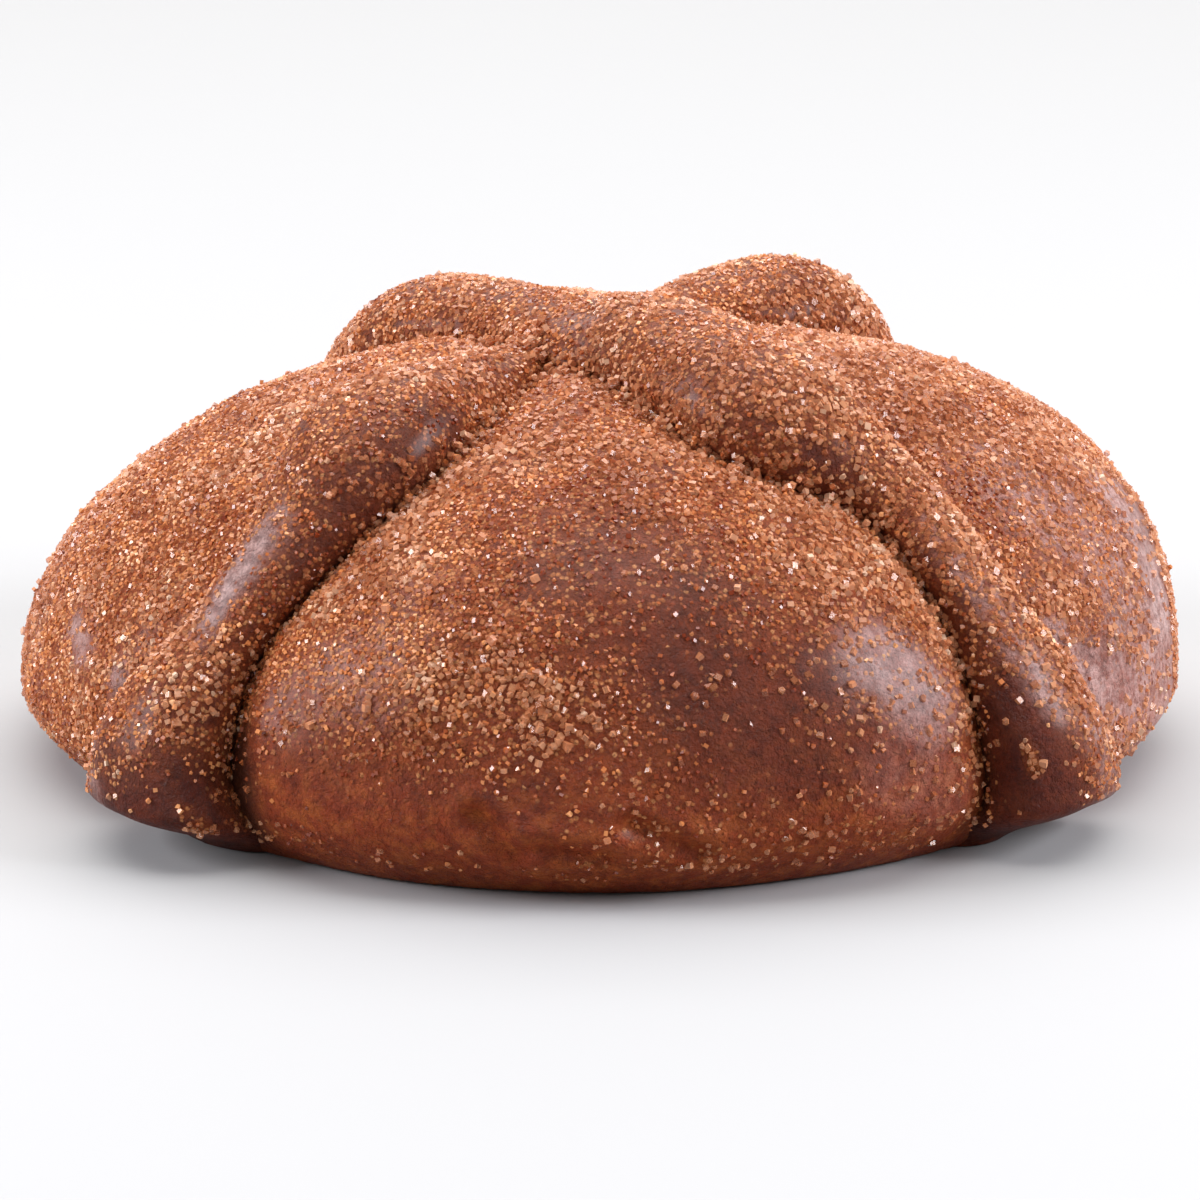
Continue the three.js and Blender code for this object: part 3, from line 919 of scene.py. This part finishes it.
def scatter(mesh, count, rng):
    """Random places on a mesh, evenly by area, with the direction out of the surface."""
    corners = each_point(mesh, "co") / MM
    triangles = fans([list(face.vertices) for face in mesh.polygons])
    a, b, c = (corners[triangles[:, k]] for k in range(3))
    cross = np.cross(b - a, c - a)
    area = np.linalg.norm(cross, axis=1) * (c[:, 2] > BARE_BELOW)
    which = rng.choice(len(area), count, p=area / area.sum())
    u, v = rng.random((2, count))
    flip = u + v > 1
    u, v = np.where(flip, 1 - u, u)[:, None], np.where(flip, 1 - v, v)[:, None]
    points = a[which] + u * (b - a)[which] + v * (c - a)[which]
    return points, unit(cross[which])


def thin_out(points, spacing):
    """Which of the points to keep so that none is nearer to another than the spacing."""
    cells = {}
    kept = []
    index = np.floor(points / spacing).astype(int)
    offsets = [(i, j, k) for i in (-1, 0, 1) for j in (-1, 0, 1) for k in (-1, 0, 1)]
    limit = spacing * spacing
    for number, ((x, y, z), (i, j, k)) in enumerate(zip(points.tolist(), index.tolist())):
        near = (p for di, dj, dk in offsets for p in cells.get((i + di, j + dj, k + dk), ()))
        if all((px - x) ** 2 + (py - y) ** 2 + (pz - z) ** 2 >= limit for px, py, pz in near):
            cells.setdefault((i, j, k), []).append((x, y, z))
            kept.append(number)
    return np.array(kept, int)


def in_patches(points, patches, lift=0):
    """How far each point lies in the patches, from 0 to 1."""
    within = np.zeros(len(points))
    for down, round_, end_down, end_round, half, share in patches:
        distance = near_line(points, (down, round_), (end_down, end_round), lift)
        within = np.maximum(within, share * bell(distance, half, 4))
    return within


def blotches(points, size, seed):
    """Soft random values from 0 to 1, in blots of a size in millimetres."""
    shift = Vector((seed, 2 * seed, 3 * seed))
    values = [noise.noise(Vector(p) / size + shift) for p in points]
    return np.clip(0.5 + 0.8 * np.array(values), 0, 1)


def clumped(points, density):
    """Gathers thin sugar in clumps, with bare crust between them."""
    blots = 0.6 * blotches(points, 0.8, 5) + 0.4 * blotches(points, 2.6, 9)
    return np.clip(density * (0.35 + 1.3 * blots) - 0.03, 0, 1)


def loaf_density(points, normals):
    """Chance of sugar on the loaf, from 0 to 1."""
    round_ = np.degrees(np.arctan2(points[:, 1], points[:, 0])) % 360
    edge = np.interp(round_, *zip(*SUGAR_EDGE))
    ragged = EDGE_RAGGED * (blotches(points, 6, 3) - 0.5)
    density = smoothstep(points[:, 2] + ragged, edge - EDGE_FADE, edge + EDGE_FADE)
    density *= MOST_ON_LOAF * smoothstep(normals[:, 2], -0.85, -0.3)
    density = np.maximum(density, LEAST_ON_LOAF * smoothstep(points[:, 2], 0.8, 4))
    return clumped(points, density * (1 - in_patches(points, BARE_ON_LOAF)))


def bone_density(points, normals):
    """Chance of sugar on the bones, from 0 to 1."""
    density = smoothstep(points[:, 2], 0.5, 7) * smoothstep(normals[:, 2], -0.75, 0.0)
    low_flanks = 1 - smoothstep(normals[:, 2], 0.2, 0.75)
    low_flanks *= 1 - smoothstep(points[:, 2], 26, 38)
    density *= MOST_ON_BONES * (1 - LOW_FLANKS_BARER * low_flanks)
    density *= 1 - in_patches(points, BARE_ON_BONES, PATCH_LIFT)
    return clumped(points, np.maximum(density, in_patches(points, CLUMPS_ON_BONES, PATCH_LIFT)))


def in_the_open(points, own):
    """Which points of one piece of dough lie outside the others."""
    if own == "loaf":
        outside, margin = np.ones(len(points), bool), OFF_BONES
    else:
        outside, margin = above_loaf(points) > OFF_LOAF, 0
    for name, rope in ROPES.items():
        if name != own:
            distance, half = rope.nearest(points)
            outside &= distance > half * BONE_THICKNESS + margin
    return outside


def random_turns(count, rng):
    """Random rotations as matrices."""
    q = unit(rng.normal(size=(count, 4)))
    w, x, y, z = q.T
    rows = [
        [1 - 2 * (y * y + z * z), 2 * (x * y - z * w), 2 * (x * z + y * w)],
        [2 * (x * y + z * w), 1 - 2 * (x * x + z * z), 2 * (y * z - x * w)],
        [2 * (x * z - y * w), 2 * (y * z + x * w), 1 - 2 * (x * x + y * y)],
    ]
    return np.moveaxis(np.array(rows), 2, 0)


def build_crystals(name, places, sizes, tints, shape, material, rng):
    """Joins one crystal shape, turned at random, at all the places into one piece."""
    corners, triangles = shape
    count = len(places)
    stretch = sizes[:, None] * rng.uniform(*STRETCH, (count, 3))
    local = corners[None] * stretch[:, None]
    turned = np.einsum("nij,nkj->nki", random_turns(count, rng), local)
    points = (turned + places[:, None]).reshape(-1, 3) * MM
    faces = (triangles[None] + np.arange(count)[:, None, None] * len(corners)).reshape(-1, 3)
    mesh = bpy.data.meshes.new(name)
    mesh.vertices.add(len(points))
    mesh.vertices.foreach_set("co", points.ravel())
    mesh.loops.add(faces.size)
    mesh.loops.foreach_set("vertex_index", faces.ravel())
    mesh.polygons.add(len(faces))
    mesh.polygons.foreach_set("loop_start", np.arange(0, faces.size, 3))
    mesh.update(calc_edges=True)
    mesh.validate()
    add_values(mesh, "tint", np.repeat(tints, len(corners)))
    return place_piece(name, mesh, material, False)


def crease_share(points, own):
    """1 in the crease beside another piece of dough, and 0 away from it."""
    share = np.zeros(len(points))
    for name, rope in ROPES.items():
        if name != own:
            distance, half = rope.nearest(points)
            share = np.maximum(share, bell(np.maximum(distance - half, 0), HEAP_REACH))
    if own != "loaf":
        share = np.maximum(share, bell(above_loaf(points), HEAP_REACH))
    right_front = (points[:, 0] > 0) & (points[:, 1] < 0)
    return share * smoothstep(points[:, 2] + HEAPED_LOWER * right_front, *HEAP_HEIGHTS)


def coat(crust, own, tries, density, sugar_shade, look, rng):
    """Places, widths and tints of the crystals on a crust, and of the clumps that lie on them."""
    low, high, spacing = look.smallest / MM, look.largest / MM, look.spacing / MM

    def tinted_at_random(count, tint, tone=0):
        return np.clip(rng.normal(*tint, count) + tone, 0, 1)

    points, normals = scatter(crust.data, tries, rng)
    keep = thin_out(points, spacing)
    points, normals = points[keep], normals[keep]
    crease = MOST_IN_CREASES * crease_share(points, own)
    keep = rng.random(len(points)) < np.maximum(density(points, normals), crease)
    points, normals = points[keep], normals[keep]
    keep = in_the_open(points, own)
    points, normals = points[keep], normals[keep]
    coarse = np.clip(blotches(points, 9, 21) + points[:, 0] / 180, 0.15, 0.85)
    sizes = low + (high - low) * rng.beta(5 * coarse, 5 * (1 - coarse))
    places = points + normals * (sizes * rng.uniform(*EMBEDDED, len(points)))[:, None]
    # Painted shade: crystals in the shaded patches get darker tints.
    tone = TONE_BLOTS * (blotches(points, 5, 13) - 0.5) - SUGAR_SHADE_TONE * in_patches(points, *sugar_shade)
    layers = [(places, sizes, tinted_at_random(len(points), COAT_TINT, tone))]
    crease = crease_share(points, own)
    anywhere, in_crease, higher = HEAP_CHANCES
    heap = anywhere * blotches(points, 2.5, 11) + in_crease * crease
    for _ in range(HEAP_LAYERS):
        on_top = rng.random(len(places)) < heap
        places, normals, crease = places[on_top], normals[on_top], crease[on_top]
        heap = higher * crease
        places = places + normals * HEAP_STEP * spacing
        places = places + rng.normal(0, HEAP_SCATTER * spacing, places.shape)
        sizes = low + (high - low) * rng.beta(2, 2, len(places))
        layers.append((places, sizes, tinted_at_random(len(places), HEAP_TINT)))
    places, sizes, tints = (np.concatenate(part) for part in zip(*layers))
    kept = places[:, 2] > BARE_BELOW
    return places[kept], sizes[kept], tints[kept]


def lay_sugar(node, seed, tries, density, sugar_shade, look, kinds):
    """Coats one piece of dough and makes a piece of each kind of crystal."""
    crust = bpy.data.objects.get(node + "_crust")
    if crust is None:
        raise RuntimeError(f"the crust of {node} comes before its sugar")
    rng = np.random.default_rng(seed)
    places, sizes, tints = coat(crust, node, tries, density, sugar_shade, look, rng)
    draw = rng.random(len(places))
    for word, coarse, (low, high), shape, material in kinds:
        chosen = (draw >= low) & (draw < high) & ((sizes > COARSE_FROM) == coarse)
        build_crystals(
            f"sugar_{node}_{word}", places[chosen], sizes[chosen], tints[chosen],
            shape, material, rng,
        )


class BREAD_OT_loaf_sugar(bpy.types.Operator):
    """Lay the coarse sugar on the loaf"""

    bl_idname = "bread.loaf_sugar"
    bl_label = "Sugar on the loaf"

    def execute(self, context):
        look = context.scene.bread_sugar
        sugar_shade = (SHADED_SUGAR_ON_LOAF, 0)
        kinds = sugar_kinds("loaf")
        lay_sugar("loaf", look.seed, TRIES_ON_LOAF, loaf_density, sugar_shade, look, kinds)
        return {"FINISHED"}


class BREAD_OT_bone_sugar(bpy.types.Operator):
    """Lay the coarse sugar on the bones"""

    bl_idname = "bread.bone_sugar"
    bl_label = "Sugar on the bones"

    def execute(self, context):
        look = context.scene.bread_sugar
        sugar_shade = (SHADED_SUGAR_ON_BONES, PATCH_LIFT)
        kinds = sugar_kinds("bones")
        for turn, name in enumerate(ROPES, 1):
            lay_sugar(name, look.seed + turn, TRIES_ON_BONE, bone_density, sugar_shade, look, kinds)
        return {"FINISHED"}


# ---- stage ----

LIGHTS = (  # name, place, width, height, watts, colour
    ("softbox_left", (-0.68, -0.10, 0.32), 0.36, 0.30, 5.1, (0.93, 0.94, 1.0)),
    ("softbox_right", (0.68, -0.16, 0.36), 0.36, 0.30, 6.0, (0.93, 0.94, 1.0)),
    ("softbox_top", (0.0, 0.30, 1.20), 1.7, 1.6, 24.0, (1.0, 0.99, 0.98)),
    ("softbox_back", (0.0, 1.30, 0.80), 1.8, 1.0, 10.0, (1.0, 0.99, 0.98)),
)
LIT_TOWARDS = (0, 0, 0.02)
WORLD_STRENGTH = 0.22
FLOOR_FLECKS = (0.458, 0.458, 0.459)


class BREAD_OT_stage(bpy.types.Operator):
    """Set up the pale floor, the soft light and the camera"""

    bl_idname = "bread.stage"
    bl_label = "Stage"

    def execute(self, context):
        scene = context.scene
        look = scene.bread_stage
        self.make_floor(look)
        self.make_world(scene)
        for light in LIGHTS:
            self.make_light(scene, *light)
        self.make_camera(scene, look)
        scene.view_settings.view_transform = "Standard"
        return {"FINISHED"}

    @staticmethod
    def make_floor(look):
        bm = bmesh.new()
        bmesh.ops.create_grid(bm, x_segments=1, y_segments=1, size=4)
        mesh = bpy.data.meshes.new("floor")
        bm.to_mesh(mesh)
        bm.free()
        f = Finish("pale_floor")
        colour = f.mix(f.noise(20 * MM) * 0.1, look.floor, FLOOR_FLECKS)
        mesh.materials.append(f.surface(base_color=colour, roughness=0.85, specular_ior_level=0.2))
        floor = bpy.data.objects.new("floor", mesh)
        bpy.context.scene.collection.objects.link(floor)

    @staticmethod
    def make_world(scene):
        world = bpy.data.worlds.new("studio")
        world.use_nodes = True
        background = world.node_tree.nodes["Background"]
        background.inputs["Color"].default_value = (0.97, 0.98, 1.0, 1)
        background.inputs["Strength"].default_value = WORLD_STRENGTH
        scene.world = world

    @staticmethod
    def make_light(scene, name, place, width, height, watts, colour):
        light = bpy.data.lights.new(name, "AREA")
        light.shape = "RECTANGLE"
        light.size, light.size_y = width, height
        light.energy = watts
        light.color = colour
        lamp = bpy.data.objects.new(name, light)
        lamp.location = place
        turn = (Vector(LIT_TOWARDS) - Vector(place)).to_track_quat("-Z", "Y")
        lamp.rotation_euler = turn.to_euler()
        scene.collection.objects.link(lamp)

    @staticmethod
    def make_camera(scene, look):
        camera = bpy.data.cameras.new("camera")
        camera.lens = look.lens
        camera.sensor_width = 36
        camera.clip_start = 0.01
        eye = bpy.data.objects.new("camera", camera)
        aim = Vector((0, 0, look.aim_height))
        back = Vector((0, -math.cos(look.elevation), math.sin(look.elevation)))
        eye.location = aim + back * look.distance
        eye.rotation_euler = (-back).to_track_quat("-Z", "Y").to_euler()
        scene.collection.objects.link(eye)
        scene.camera = eye


# ---- add-on ----

STEPS = (
    BREAD_OT_loaf_crust,
    BREAD_OT_bone_crusts,
    BREAD_OT_loaf_sugar,
    BREAD_OT_bone_sugar,
    BREAD_OT_stage,
)
LOOKS = {"bread_crust": CrustLook, "bread_sugar": SugarLook, "bread_stage": StageLook}


class BREAD_PT_pieces(bpy.types.Panel):
    """The steps that make the bread, in order, with their sizes and colours"""

    bl_idname = "BREAD_PT_pieces"
    bl_label = "Pan de muerto"
    bl_space_type = "VIEW_3D"
    bl_region_type = "UI"
    bl_category = "Bread"

    def draw(self, context):
        for step in STEPS:
            self.layout.operator(step.bl_idname)
        for name, look in LOOKS.items():
            box = self.layout.box()
            for key in look.__annotations__:
                box.prop(getattr(context.scene, name), key)


def register():
    for cls in (*LOOKS.values(), *STEPS, BREAD_PT_pieces):
        bpy.utils.register_class(cls)
    for name, look in LOOKS.items():
        setattr(bpy.types.Scene, name, PointerProperty(type=look))


def unregister():
    for name in LOOKS:
        delattr(bpy.types.Scene, name)
    for cls in reversed((*LOOKS.values(), *STEPS, BREAD_PT_pieces)):
        bpy.utils.unregister_class(cls)


def main():
    register()
    for step in STEPS:
        group, name = step.bl_idname.split(".")
        getattr(getattr(bpy.ops, group), name)()


if __name__ == "__main__":
    main()
